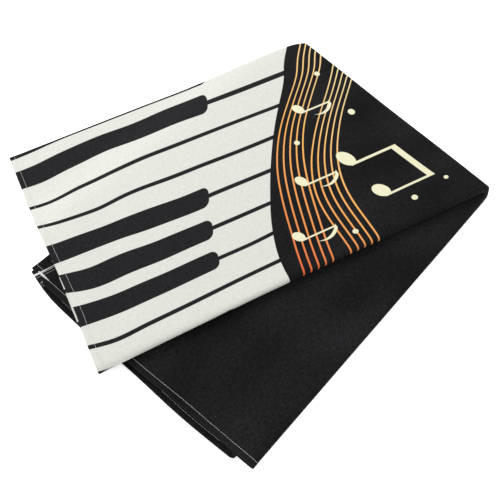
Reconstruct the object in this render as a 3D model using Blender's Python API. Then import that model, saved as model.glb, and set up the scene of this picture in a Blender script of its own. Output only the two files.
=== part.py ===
"""Piano top cover, folded for the shelf: one hemmed cloth of 0.90 m by 1.79 m in one solid.

The long cloth is folded in thirds, back and forth, and then in half, which gives a strip of
six layers, 0.9 m long. The strip is turned back once over a slanted line, so that an upper
arm lies on a lower one, and its far corner droops past the lower arm to the floor.

A point of the cloth has three names here: along the strip from the lower arm's hem, across
the strip from the spine, and its height in the strip while that lies straight. turn_back()
takes these to the folded shape. Metres, +Z up, with the floor at height 0.
"""
import math
from typing import NamedTuple

import bmesh
import bpy
import numpy as np

NODE = "folded_cloth"

# The cloth and how it is stacked
CLOTH_DEPTH = 0.900
SHEET = 0.0010
LAYER_PITCH = 0.00165
LAYERS = 6
STACK = SHEET + (LAYERS - 1) * LAYER_PITCH

# The lower arm and the line over which the strip is turned back
LOWER_ARM = 0.4154
ARM_HEADING = math.radians(48.72)
TURN_HEADING = math.radians(128.50)
SKEW = TURN_HEADING - ARM_HEADING
TURN_INNER_RADIUS = 0.0012
TURN_AXIS_HEIGHT = STACK + TURN_INNER_RADIUS
TURN_MIDDLE_RADIUS = TURN_AXIS_HEIGHT - SHEET / 2
TURN_START = -TURN_AXIS_HEIGHT
TURN_ARC = math.pi * TURN_MIDDLE_RADIUS
TURN_STEPS = 8
TURN_EDGE_FADE = 0.090
TURN_EDGE_PLACES = (0.0, 0.080, 0.160, 0.240, 0.320)
TURN_EDGE_AHEAD = (0.0024, 0.0012, 0.0012, 0.0006, 0.0004)
CORNER_DIP = 0.0065
CORNER_DIP_REACH = 0.016

# How the upper arm settles on the lower one and down to the floor beside it
ARM_GAP = 0.0008
CLOSING_START = 0.008
CLOSING_LENGTH = 0.100
LOWER_ARM_WIDTH = 0.3165
LOWER_HEM_OVERHANG = 0.008
DROOP_START = 0.012
DROOP_LENGTH = 0.064

HEM = 0.0065
HEM_FADE = 0.090
ARC_END = math.pi / 2

FABRIC_COLOUR = (0.016, 0.016, 0.018, 1.0)
FABRIC_ROUGHNESS = 0.85


class Fold(NamedTuple):
    """A lengthwise fold: the layers it joins, its reach across at five places, its roundness."""

    first: int
    second: int
    side: str
    at_lower_hem: float
    at_lower_middle: float
    at_turn: float
    at_upper_middle: float
    at_upper_hem: float
    depth: float
    steps: int


# Layers count from 1, at the floor, to 6; the cloth runs through the folds in this order.
FOLDS = (
    Fold(3, 4, "spine", 0.0240, 0.0225, 0.0200, 0.0210, 0.0190, 0.0011, 3),
    Fold(4, 5, "open", 0.3160, 0.3150, 0.3155, 0.3140, 0.3080, 0.0012, 3),
    Fold(5, 2, "spine", 0.0190, 0.0175, 0.0140, 0.0150, 0.0130, 0.0040, 5),
    Fold(2, 1, "open", 0.3162, 0.3165, 0.3170, 0.3165, 0.3112, 0.0013, 4),
    Fold(1, 6, "spine", 0.0000, -0.0015, 0.0000, 0.0000, -0.0010, 0.0100, 7),
)
FOLD_PLACES = (0.0, 0.22, 0.47, 0.75, 1.0)


class SideHem(NamedTuple):
    """The free side hem of a layer: its last mesh line and its reach at seven places along."""

    layer: int
    last_station: float
    reach: tuple


SIDE_HEM_PLACES = (-0.01, 0.019, 0.060, 0.200, 0.440, 0.700, 0.910)
FIRST_HEM = SideHem(3, 0.290, (0.3045, 0.3040, 0.3040, 0.3035, 0.3040, 0.3040, 0.3030))
LAST_HEM = SideHem(6, 0.275, (0.3085, 0.2998, 0.2970, 0.2965, 0.2965, 0.2970, 0.2965))


class EndHem(NamedTuple):
    """How far a layer's end hem lies inside the strip's end, at six places across."""

    layer: int
    spine: float
    quarter: float
    middle: float
    three_quarter: float
    near_side: float
    side: float


END_HEM_PLACES = (0.0, 0.080, 0.150, 0.232, 0.283, 0.316)
LOWER_END_HEMS = (
    EndHem(1, -0.0005, -0.0020, -0.0030, -0.0035, -0.0030, -0.0001),
    EndHem(2, -0.0050, -0.0077, -0.0068, -0.0080, -0.0055, -0.0001),
    EndHem(3, -0.0020, -0.0030, -0.0030, -0.0025, -0.0020, -0.0015),
    EndHem(4, -0.0020, -0.0035, -0.0030, -0.0030, -0.0010, 0.0012),
    EndHem(5, -0.0050, -0.0060, -0.0052, -0.0040, -0.0015, 0.0012),
    EndHem(6, -0.0005, -0.0026, -0.0053, -0.0037, -0.0037, -0.0036),
)
UPPER_END_HEMS = (
    EndHem(1, -0.0030, 0.0000, -0.0015, 0.0038, 0.0022, 0.0019),
    EndHem(2, 0.0010, -0.0010, -0.0028, 0.0016, 0.0024, 0.0019),
    EndHem(3, 0.0030, 0.0022, 0.0030, 0.0050, 0.0030, 0.0028),
    EndHem(4, 0.0030, 0.0028, 0.0035, 0.0044, 0.0036, 0.0030),
    EndHem(5, 0.0010, 0.0024, 0.0020, 0.0036, 0.0034, 0.0030),
    EndHem(6, -0.0030, 0.0010, 0.0015, 0.0035, 0.0030, 0.0030),
)


class Swell(NamedTuple):
    """A soft hill or hollow of the stack: its middle along and across, its reach, its share."""

    along: float
    across: float
    reach: float
    share: float


SWELLS = (
    Swell(0.075, 0.095, 0.060, -0.07),
    Swell(0.150, 0.045, 0.055, 0.06),
    Swell(0.235, 0.100, 0.080, -0.05),
    Swell(0.330, 0.060, 0.060, 0.06),
    Swell(0.180, 0.230, 0.090, 0.05),
    Swell(0.350, 0.240, 0.080, -0.04),
)


class PathPoint(NamedTuple):
    """A point of the cloth's path through the strip's section, and its share of two layers."""

    across: float
    height: float
    layer: int
    next_layer: int
    share: float

# Places of the mesh's lines, shared by all layers so that their facets lie parallel
ACROSS_STATIONS = (0.030, 0.060, 0.095, 0.130, 0.165, 0.198, 0.230, 0.256, 0.275, 0.290, 0.297, 0.304)
LOWER_STATIONS = (0.0, 0.007, 0.030, 0.085, 0.160, 0.240, 0.315)
UPPER_STATIONS = (
    0.388, 0.345, 0.306, 0.270, 0.234, 0.198, 0.162, 0.126, 0.090, 0.058, 0.030, 0.007, 0.0,
)


def smooth_step(value):
    """Return 0 below 0, 1 above 1 and a smooth rise between."""
    share = min(max(value, 0.0), 1.0)
    return share * share * (3.0 - 2.0 * share)


def smooth_table(places, values, place):
    """Return the value at a place on a smooth curve through a table's values."""
    slopes = np.gradient(values, places)
    index = int(np.clip(np.searchsorted(places, place) - 1, 0, len(places) - 2))
    span = places[index + 1] - places[index]
    share = min(max((place - places[index]) / span, 0.0), 1.0)
    rise = share * share * (3.0 - 2.0 * share)
    start_pull = share * (1.0 - share) ** 2
    end_pull = share * share * (share - 1.0)
    level = values[index] + (values[index + 1] - values[index]) * rise
    return level + span * (slopes[index] * start_pull + slopes[index + 1] * end_pull)


def layer_height(layer):
    """Return the height of a layer's middle surface in the straight strip."""
    return SHEET / 2 + (layer - 1) * LAYER_PITCH


def fold_reach(fold, along):
    """Return how far across a lengthwise fold reaches at a place along the strip."""
    values = (fold.at_lower_hem, fold.at_lower_middle, fold.at_turn, fold.at_upper_middle, fold.at_upper_hem)
    reach = smooth_table(FOLD_PLACES, values, along / CLOTH_DEPTH)
    if fold.side == "open":
        from_turn = (along - turn_start_along(reach) - TURN_ARC / 2) / CORNER_DIP_REACH
        reach -= CORNER_DIP * math.exp(-from_turn * from_turn)
    return reach


def fold_points(fold, along):
    """Return the points of one fold's round."""
    reach = fold_reach(fold, along)
    outward = -1.0 if fold.side == "spine" else 1.0
    low = layer_height(fold.first)
    high = layer_height(fold.second)
    points = []
    for step in range(fold.steps + 1):
        angle = -ARC_END + 2 * ARC_END * step / fold.steps
        across = reach - outward * fold.depth * (1.0 - math.cos(angle))
        height = (low + high) / 2 + (high - low) / 2 * math.sin(angle)
        points.append(PathPoint(across, height, fold.first, fold.second, step / fold.steps))
    return points


def flat_points(layer, outward, last_station):
    """Return a layer's points between its folds, or between a fold and its side hem."""
    stations = [across for across in ACROSS_STATIONS if across <= last_station]
    if not outward:
        stations = stations[::-1]
    return [PathPoint(across, layer_height(layer), layer, layer, 0.0) for across in stations]


def side_hem_points(hem, along):
    """Return the two points of a free side hem: its edge and its stitch line."""
    edge = smooth_table(SIDE_HEM_PLACES, hem.reach, along)
    height = layer_height(hem.layer)
    return [PathPoint(across, height, hem.layer, hem.layer, 0.0) for across in (edge, edge - HEM)]


def section(along):
    """Return the cloth's path through the strip's section at a place along it."""
    points = side_hem_points(FIRST_HEM, along)
    points += flat_points(FIRST_HEM.layer, False, FIRST_HEM.last_station)
    for fold in FOLDS:
        points += fold_points(fold, along)
        last_station = LAST_HEM.last_station if fold.second == LAST_HEM.layer else ACROSS_STATIONS[-1]
        points += flat_points(fold.second, fold.side == "spine", last_station)
    points += side_hem_points(LAST_HEM, along)[::-1]
    return points


def end_hem(hems, point):
    """Return how far the end hem lies inside the strip's end at a point of the path."""
    inset = smooth_table(END_HEM_PLACES, hems[point.layer - 1][1:], point.across)
    next_inset = smooth_table(END_HEM_PLACES, hems[point.next_layer - 1][1:], point.across)
    return inset + (next_inset - inset) * point.share


def turn_start_along(across):
    """Return where along the strip the turn starts, at a place across it."""
    return LOWER_ARM + (TURN_START + across * math.cos(SKEW)) / math.sin(SKEW)


def station_along(row, point):
    """Return the place along the strip of one row of the mesh, which slants towards the turn."""
    start = turn_start_along(point.across)
    end = start + TURN_ARC / math.sin(SKEW)
    lower_rows = len(LOWER_STATIONS)
    if row < lower_rows:
        along = start * LOWER_STATIONS[row] / turn_start_along(0.0)
        inset = end_hem(LOWER_END_HEMS, point)
        return along + inset * (1.0 - smooth_step(along / HEM_FADE))
    if row <= lower_rows + TURN_STEPS:
        return start + (end - start) * (row - lower_rows) / TURN_STEPS
    from_hem = UPPER_STATIONS[row - lower_rows - TURN_STEPS - 1]
    longest = CLOTH_DEPTH - turn_start_along(0.0) - TURN_ARC / math.sin(SKEW)
    from_hem *= (CLOTH_DEPTH - end) / longest
    inset = end_hem(UPPER_END_HEMS, point)
    return CLOTH_DEPTH - from_hem - inset * (1.0 - smooth_step(from_hem / HEM_FADE))


def beside_lower_arm(along, across):
    """Return how far a place in the plan lies outside the lower arm."""
    aside = max(across - LOWER_ARM_WIDTH, 0.0)
    before = max(-along - LOWER_HEM_OVERHANG, 0.0)
    return math.hypot(aside, before)


def swell(along, across):
    """Return the share by which the stack is thicker at a place in the plan."""
    total = 1.0
    for hill in SWELLS:
        distance = math.hypot(along - hill.along, across - hill.across) / hill.reach
        total += hill.share * math.exp(-distance * distance)
    return total


def turn_back(along, across, height):
    """Return the (along, across, height) place to which the turned strip brings a point."""
    ahead = (along - LOWER_ARM) * math.sin(SKEW) - across * math.cos(SKEW)
    beside = (along - LOWER_ARM) * math.cos(SKEW) + across * math.sin(SKEW)
    radius = TURN_AXIS_HEIGHT - height
    past_start = ahead - TURN_START
    if past_start > TURN_ARC:
        ahead = TURN_START + TURN_ARC - past_start
        height = TURN_AXIS_HEIGHT + radius
    elif past_start > 0.0:
        angle = past_start / TURN_MIDDLE_RADIUS
        ahead = TURN_START + radius * math.sin(angle)
        height = TURN_AXIS_HEIGHT - radius * math.cos(angle)
    behind_turn = max(TURN_START - ahead, 0.0)
    edge_ahead = smooth_table(TURN_EDGE_PLACES, TURN_EDGE_AHEAD, beside)
    ahead += edge_ahead * (1.0 - smooth_step(behind_turn / TURN_EDGE_FADE))
    plan_along = LOWER_ARM + ahead * math.sin(SKEW) + beside * math.cos(SKEW)
    plan_across = beside * math.sin(SKEW) - ahead * math.cos(SKEW)
    if past_start > TURN_ARC:
        closing = 2 * TURN_INNER_RADIUS - ARM_GAP
        height -= closing * smooth_step((behind_turn - CLOSING_START) / CLOSING_LENGTH)
        beyond = beside_lower_arm(plan_along, plan_across)
        height -= (STACK + ARM_GAP) * smooth_step((beyond - DROOP_START) / DROOP_LENGTH)
    height *= swell(plan_along, plan_across)
    return plan_along, plan_across, max(height, 0.0)


def in_plan(along, across, height):
    """Return the world place of a point named along and across the lower arm."""
    forward = np.array((math.cos(ARM_HEADING), math.sin(ARM_HEADING)))
    leftward = np.array((-math.sin(ARM_HEADING), math.cos(ARM_HEADING)))
    plan = forward * along + leftward * across
    return (plan[0], plan[1], height)


def sheet_surfaces():
    """Return the cloth's face and reverse as two grids of world points, row by row."""
    rows = len(LOWER_STATIONS) + TURN_STEPS + 1 + len(UPPER_STATIONS)
    face = []
    reverse = []
    for row in range(rows):
        path = []
        for index, point in enumerate(section(CLOTH_DEPTH * row / rows)):
            along = station_along(row, point)
            path.append((along, *section(along)[index][:2]))
        flat = np.array(path)
        tangent = np.gradient(flat[:, 1:], axis=0)
        tangent /= np.linalg.norm(tangent, axis=1)[:, None]
        for grid, side in ((face, 1.0), (reverse, -1.0)):
            across = flat[:, 1] + side * tangent[:, 1] * SHEET / 2
            height = flat[:, 2] - side * tangent[:, 0] * SHEET / 2
            turned = [turn_back(*point) for point in zip(flat[:, 0], across, height)]
            grid.append([in_plan(*point) for point in turned])
    return np.array(face), np.array(reverse)


def cloth_mesh():
    """Return the bmesh of the closed sheet, centred over the floor."""
    face, reverse = sheet_surfaces()
    corners = np.concatenate((face.reshape(-1, 3), reverse.reshape(-1, 3)))
    centre = (corners.min(axis=0) + corners.max(axis=0)) / 2
    centre[2] = 0.0
    mesh = bmesh.new()
    rows, columns = face.shape[:2]
    grids = []
    for grid in (face, reverse):
        grids.append([[mesh.verts.new(point - centre) for point in line] for line in grid])
    path = section(0.0)
    outward = [following.across > here.across for here, following in zip(path, path[1:])]
    for side, grid in enumerate(grids):
        for row in range(rows - 1):
            for column in range(columns - 1):
                first = grid[row][column]
                second = grid[row][column + 1]
                third = grid[row + 1][column + 1]
                fourth = grid[row + 1][column]
                if outward[column]:
                    triangles = ((first, second, third), (first, third, fourth))
                else:
                    triangles = ((first, second, fourth), (second, third, fourth))
                for triangle in triangles:
                    mesh.faces.new(triangle if side == 0 else triangle[::-1])
    rim = [(0, column) for column in range(columns - 1)]
    rim += [(row, columns - 1) for row in range(rows - 1)]
    rim += [(rows - 1, column) for column in range(columns - 1, 0, -1)]
    rim += [(row, 0) for row in range(rows - 1, 0, -1)]
    for here, following in zip(rim, rim[1:] + rim[:1]):
        upper = grids[0][here[0]][here[1]]
        upper_next = grids[0][following[0]][following[1]]
        lower = grids[1][here[0]][here[1]]
        lower_next = grids[1][following[0]][following[1]]
        mesh.faces.new((upper, lower, lower_next))
        mesh.faces.new((upper, lower_next, upper_next))
    bmesh.ops.recalc_face_normals(mesh, faces=mesh.faces)
    return mesh


def fabric_material():
    """Return the matt black fabric."""
    material = bpy.data.materials.new("black_fabric")
    material.use_nodes = True
    shader = material.node_tree.nodes["Principled BSDF"]
    shader.inputs["Base Color"].default_value = FABRIC_COLOUR
    shader.inputs["Roughness"].default_value = FABRIC_ROUGHNESS
    shader.inputs["Metallic"].default_value = 0.0
    return material


def build_cloth():
    """Make the folded cloth's object."""
    mesh = cloth_mesh()
    data = bpy.data.meshes.new(NODE)
    mesh.to_mesh(data)
    mesh.free()
    data.shade_smooth()
    data.set_sharp_from_angle(angle=math.radians(50.0))
    data.materials.append(fabric_material())
    bpy.context.scene.collection.objects.link(bpy.data.objects.new(NODE, data))


def clear_scene():
    """Remove the objects that Blender starts with."""
    for item in list(bpy.data.objects):
        bpy.data.objects.remove(item)


clear_scene()
build_cloth()
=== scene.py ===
"""Dressed model of the folded piano top cover: its printed cloth, its sewing and the studio."""
import logging
import math
from dataclasses import dataclass, field
from enum import Enum

import bpy
import numpy as np
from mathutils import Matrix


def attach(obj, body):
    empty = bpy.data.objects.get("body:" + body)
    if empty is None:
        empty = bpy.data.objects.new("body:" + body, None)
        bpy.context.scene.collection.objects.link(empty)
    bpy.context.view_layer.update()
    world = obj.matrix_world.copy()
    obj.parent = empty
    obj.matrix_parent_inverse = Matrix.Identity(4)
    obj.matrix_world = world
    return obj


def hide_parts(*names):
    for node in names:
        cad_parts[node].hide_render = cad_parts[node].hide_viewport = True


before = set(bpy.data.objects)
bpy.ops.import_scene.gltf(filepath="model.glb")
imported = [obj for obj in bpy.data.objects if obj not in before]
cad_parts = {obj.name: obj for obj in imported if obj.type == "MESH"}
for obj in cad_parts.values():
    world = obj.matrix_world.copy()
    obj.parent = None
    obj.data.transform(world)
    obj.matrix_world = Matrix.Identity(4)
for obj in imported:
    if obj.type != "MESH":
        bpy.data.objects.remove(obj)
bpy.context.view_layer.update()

NODE = "folded_cloth"
BODY = "root"

# The cloth and its stack, as in the part's source
CLOTH_DEPTH = 0.900
SHEET = 0.0010
LAYER_PITCH = 0.00165
LAYERS = 6
STACK = SHEET + (LAYERS - 1) * LAYER_PITCH

# The line over which the strip is turned back
LOWER_ARM = 0.4154
ARM_HEADING = math.radians(48.72)
SKEW = math.radians(128.50) - ARM_HEADING
TURN_INNER_RADIUS = 0.0012
TURN_AXIS_HEIGHT = STACK + TURN_INNER_RADIUS
TURN_MIDDLE_RADIUS = TURN_AXIS_HEIGHT - SHEET / 2
TURN_START = -TURN_AXIS_HEIGHT
TURN_ARC = math.pi * TURN_MIDDLE_RADIUS
TURN_LENGTH = TURN_ARC / math.sin(SKEW)
PLAN_CENTRE = (-0.00887, 0.27981)

# The fine sheet
FABRIC_THICKNESS = 0.0005
HEM_THICKNESS = 0.0010
HEM = 0.0065
HEM_FADE = 0.090
SHEET_DROP = 0.0002
REFERENCE_ACROSS = 0.160
SEAM_INSET = 0.0058
SEAM_DIP = 0.25
FROM_EDGE = (0.0, 0.0003, 0.0010, 0.0025, 0.0045, 0.0058, 0.0065, 0.0072, 0.0090)

# Half the width of the soft border between two whole counts, and a length that is as good as none
COUNT_SOFT = 0.1
TINY = 1e-12

Socket = bpy.types.NodeSocket
Array = np.ndarray
Values = tuple[float, ...]
Table = tuple[Values, ...]
Spot = tuple[float, float, float]
Colour = tuple[float, float, float, float]

log = logging.getLogger("piano_cover")


def smooth_step(value: Array) -> Array:
    """Return 0 below 0, 1 above 1 and a smooth rise between."""
    share = np.clip(value, 0.0, 1.0)
    return share * share * (3.0 - 2.0 * share)


def squared(angle: Array, power: float) -> Array:
    """Return how far a pressed round bulges past a circle; a power of 2 leaves it round."""
    return (np.abs(np.sin(angle)) ** power + np.abs(np.cos(angle)) ** power) ** (-1.0 / power)


def turn_start_along(across: Array) -> Array:
    """Return where along the strip the turn starts, at a place across it."""
    return LOWER_ARM + (TURN_START + across * math.cos(SKEW)) / math.sin(SKEW)


def unit(vectors: Array) -> Array:
    """Return vectors of length one."""
    return vectors / (np.linalg.norm(vectors, axis=1)[:, None] + TINY)


def on_path(spots: Array, path: Array, values: Array) -> Array:
    """Read three columns of values at spots along a path."""
    return np.stack([np.interp(spots, path, values[:, axis]) for axis in range(3)], axis=-1)


def places_of(mesh: bpy.types.Mesh) -> Array:
    """Return the places of a mesh's vertices, one row for each."""
    places = np.zeros(len(mesh.vertices) * 3)
    mesh.vertices.foreach_get("co", places)
    return places.reshape(-1, 3)


def layer_height(layer: int) -> float:
    """Return the height of a layer's middle surface in the straight strip."""
    return SHEET / 2 + (layer - 1) * LAYER_PITCH


def smooth_curve(places: Values, values: Array, where: Array) -> Array:
    """Read smooth curves through values at some places.

    Args:
        places: the places of the values.
        values: the values, one row for each place, with one column or a column for each reading.
        where: the places to read at.

    Returns:
        The value at each place.
    """
    places = np.array(places)
    spots = np.ravel(where)
    rows = np.broadcast_to(np.reshape(values, (len(places), -1)), (len(places), spots.size))
    slopes = np.gradient(rows, places, axis=0)
    index = np.clip(np.searchsorted(places, spots) - 1, 0, len(places) - 2)
    column = np.arange(spots.size)
    start = rows[index, column]
    end = rows[index + 1, column]
    span = places[index + 1] - places[index]
    share = np.clip((spots - places[index]) / span, 0.0, 1.0)
    start_pull = slopes[index, column] * share * (1.0 - share) ** 2
    end_pull = slopes[index + 1, column] * share * share * (share - 1.0)
    level = start + (end - start) * smooth_step(share)
    return np.reshape(level + span * (start_pull + end_pull), np.shape(where))


@dataclass(frozen=True)
class SmoothTable:
    """A smooth curve through a short table of places and values."""

    places: Values
    values: Values

    def at(self, where: Array) -> Array:
        """Return the curve's value at each place."""
        return smooth_curve(self.places, np.array(self.values), where)


class Side(Enum):
    """The two long sides of the folded strip."""

    SPINE = -1.0
    OPEN = 1.0


class Place(Enum):
    """What a line of the sheet belongs to."""

    FLAT = "flat"
    FOLD = "fold"
    HEM = "hem"


FOLD_PLACES = (0.0, 0.198, 0.423, 0.675, 0.900)
SIDE_HEM_PLACES = (-0.01, 0.019, 0.060, 0.200, 0.440, 0.700, 0.910)
END_HEM_PLACES = (0.0, 0.046, 0.060, 0.080, 0.150, 0.232, 0.283, 0.316)
CORNER_DIP = 0.0065
CORNER_DIP_REACH = 0.016
PRESS_REACH = 0.030


@dataclass(frozen=True)
class LengthFold:
    """A lengthwise fold: the layers it joins, its reach along the strip, and its roundness."""

    first: int
    second: int
    side: Side
    reach_values: Values
    depth: float
    steps: int
    power: float = 2.0
    pressed: float = 0.0

    def reach(self, along: Array) -> Array:
        """Return how far across the fold reaches at places along the strip."""
        reach = SmoothTable(FOLD_PLACES, self.reach_values).at(along)
        if self.side is Side.OPEN:
            past = (along - turn_start_along(reach) - TURN_ARC / 2) / CORNER_DIP_REACH
            reach = reach - CORNER_DIP * np.exp(-past * past)
        return reach

    def depth_at(self, along: Array) -> Array:
        """Return how far in the fold's round starts, less where the turn presses it."""
        past = (along - turn_start_along(0.0) - TURN_ARC / 2) / PRESS_REACH
        return self.depth * (1.0 - self.pressed * np.exp(-past * past))


@dataclass(frozen=True)
class SideHem:
    """A free side hem: its layer, where its flat cloth ends, and its reach along the strip."""

    layer: int
    last_station: float
    reach_values: Values


@dataclass(frozen=True)
class SheetLine:
    """One line of the sheet that runs along the strip, and where it lies in the section."""

    place: Place
    layer: int
    next_layer: int
    share: float
    across: float = 0.0
    angle: float = 0.0
    fold: LengthFold | None = None
    hem: SideHem | None = None

    def section(self, along: Array) -> tuple[Array, Array]:
        """Find the line in the strip's section.

        Args:
            along: places along the strip.

        Returns:
            Its place across the strip and its height there.
        """
        low = layer_height(self.layer)
        if self.place is Place.FLAT:
            return np.full_like(along, self.across), np.full_like(along, low)
        if self.place is Place.HEM:
            edge = SmoothTable(SIDE_HEM_PLACES, self.hem.reach_values).at(along)
            return edge - self.across, np.full_like(along, low)
        high = layer_height(self.next_layer)
        bulge = float(squared(self.angle, self.fold.power))
        depth = self.fold.depth_at(along)
        inward = self.fold.side.value * depth * (1.0 - math.cos(self.angle) * bulge)
        height = (low + high) / 2 + (high - low) / 2 * math.sin(self.angle) * bulge
        return self.fold.reach(along) - inward, np.full_like(along, height)


@dataclass
class FoldedStrip:
    """The cloth folded in thirds and in half: six layers, in the order of the cloth's path."""

    folds: tuple[LengthFold, ...] = (
        LengthFold(3, 4, Side.SPINE, (0.0240, 0.0225, 0.0200, 0.0210, 0.0190), 0.0011, 6),
        LengthFold(4, 5, Side.OPEN, (0.3160, 0.3150, 0.3155, 0.3140, 0.3080), 0.0012, 6),
        LengthFold(5, 2, Side.SPINE, (0.0190, 0.0175, 0.0140, 0.0150, 0.0130), 0.0040, 8),
        LengthFold(2, 1, Side.OPEN, (0.3162, 0.3165, 0.3170, 0.3186, 0.3122), 0.0013, 8),
        LengthFold(
            1, 6, Side.SPINE, (0.0000, -0.0006, -0.0014, 0.0000, -0.0010), 0.0100, 22, 2.7, 0.85
        ),
    )
    first_hem: SideHem = SideHem(3, 0.290, (0.3045, 0.3040, 0.3040, 0.3035, 0.3040, 0.3040, 0.3030))
    last_hem: SideHem = SideHem(6, 0.275, (0.3085, 0.2998, 0.2970, 0.2965, 0.2965, 0.2970, 0.2965))
    seen_layers: tuple[int, ...] = (1, 6)
    seen_steps: int = 40
    hidden_steps: int = 20
    hem_lines: Values = FROM_EDGE
    first_station: float = 0.030
    open_station: float = 0.304

    def flat_lines(self, layer: int, outward: bool, last: float) -> list[SheetLine]:
        """Return a layer's lines between its folds, or between a fold and its side hem."""
        steps = self.seen_steps if layer in self.seen_layers else self.hidden_steps
        stations = np.linspace(self.first_station, last, steps)
        if not outward:
            stations = stations[::-1]
        return [
            SheetLine(Place.FLAT, layer, layer, 0.0, across=float(station)) for station in stations
        ]

    def fold_lines(self, fold: LengthFold) -> list[SheetLine]:
        """Return the lines of one fold's round."""
        lines = []
        for step in range(fold.steps + 1):
            share = step / fold.steps
            angle = math.pi * (share - 0.5)
            lines.append(
                SheetLine(Place.FOLD, fold.first, fold.second, share, angle=angle, fold=fold)
            )
        return lines

    def side_hem_lines(self, hem: SideHem) -> list[SheetLine]:
        """Return the lines of a free side hem, from its edge inwards."""
        return [
            SheetLine(Place.HEM, hem.layer, hem.layer, 0.0, across=inside, hem=hem)
            for inside in self.hem_lines
        ]

    def lines(self) -> list[SheetLine]:
        """Return all lines of the sheet from its first side hem to its last."""
        found = self.side_hem_lines(self.first_hem)
        found += self.flat_lines(self.first_hem.layer, False, self.first_hem.last_station)
        for fold in self.folds:
            found += self.fold_lines(fold)
            to_hem = fold.second == self.last_hem.layer
            last = self.last_hem.last_station if to_hem else self.open_station
            found += self.flat_lines(fold.second, fold.side is Side.SPINE, last)
        return found + self.side_hem_lines(self.last_hem)[::-1]


@dataclass
class EndHems:
    """How far each layer's end hem lies inside the strip's end, at eight places across."""

    lower: Table = (
        (-0.0005, -0.0014, -0.0017, -0.0020, -0.0030, -0.0035, -0.0030, -0.0001),
        (-0.0050, -0.0076, -0.0083, -0.0090, -0.0085, -0.0098, -0.0075, -0.0010),
        (-0.0020, -0.0011, -0.0008, -0.0005, 0.0000, 0.0000, -0.0005, -0.0015),
        (-0.0020, -0.0011, -0.0008, -0.0005, 0.0000, 0.0000, 0.0000, 0.0012),
        (-0.0030, -0.0018, -0.0014, -0.0010, 0.0000, 0.0000, 0.0005, 0.0012),
        (-0.0005, -0.0016, -0.0020, -0.0026, -0.0053, -0.0037, -0.0037, -0.0036),
    )
    upper: Table = (
        (-0.0042, -0.0025, -0.0015, -0.0010, -0.0015, -0.0014, -0.0003, 0.0007),
        (-0.0048, -0.0023, -0.0032, -0.0027, -0.0014, -0.0018, 0.0010, 0.0012),
        (0.0030, 0.0024, 0.0023, 0.0022, 0.0030, 0.0010, 0.0016, 0.0020),
        (0.0030, 0.0028, 0.0028, 0.0028, 0.0035, 0.0014, 0.0020, 0.0022),
        (0.0010, 0.0019, 0.0022, 0.0024, 0.0020, 0.0012, 0.0018, 0.0022),
        (-0.0042, -0.0016, -0.0009, 0.0000, 0.0015, 0.0010, 0.0016, 0.0022),
    )

    def inset(self, rows: Table, line: SheetLine, across: Array) -> Array:
        """Return how far the hem lies inside the strip's end on one line of the sheet."""
        here = SmoothTable(END_HEM_PLACES, rows[line.layer - 1]).at(across)
        there = SmoothTable(END_HEM_PLACES, rows[line.next_layer - 1]).at(across)
        return here + (there - here) * line.share


@dataclass(frozen=True)
class Swell:
    """A soft hill or hollow of the stack: its middle along and across, its reach, its share."""

    along: float
    across: float
    reach: float
    share: float


@dataclass(frozen=True)
class Crease:
    """A soft trough or ridge between two places: its half width and the share it adds."""

    start: tuple[float, float]
    end: tuple[float, float]
    width: float
    share: float

    def rise(self, along: Array, across: Array) -> Array:
        """Return the share by which the crease raises the cloth at places in the plan."""
        start = np.array(self.start)
        run = np.array(self.end) - start
        at = ((along - start[0]) * run[0] + (across - start[1]) * run[1]) / (run @ run)
        at = np.clip(at, 0.0, 1.0)
        off = np.hypot(along - start[0] - run[0] * at, across - start[1] - run[1] * at)
        return self.share * np.exp(-((off / self.width) ** 2))


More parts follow.
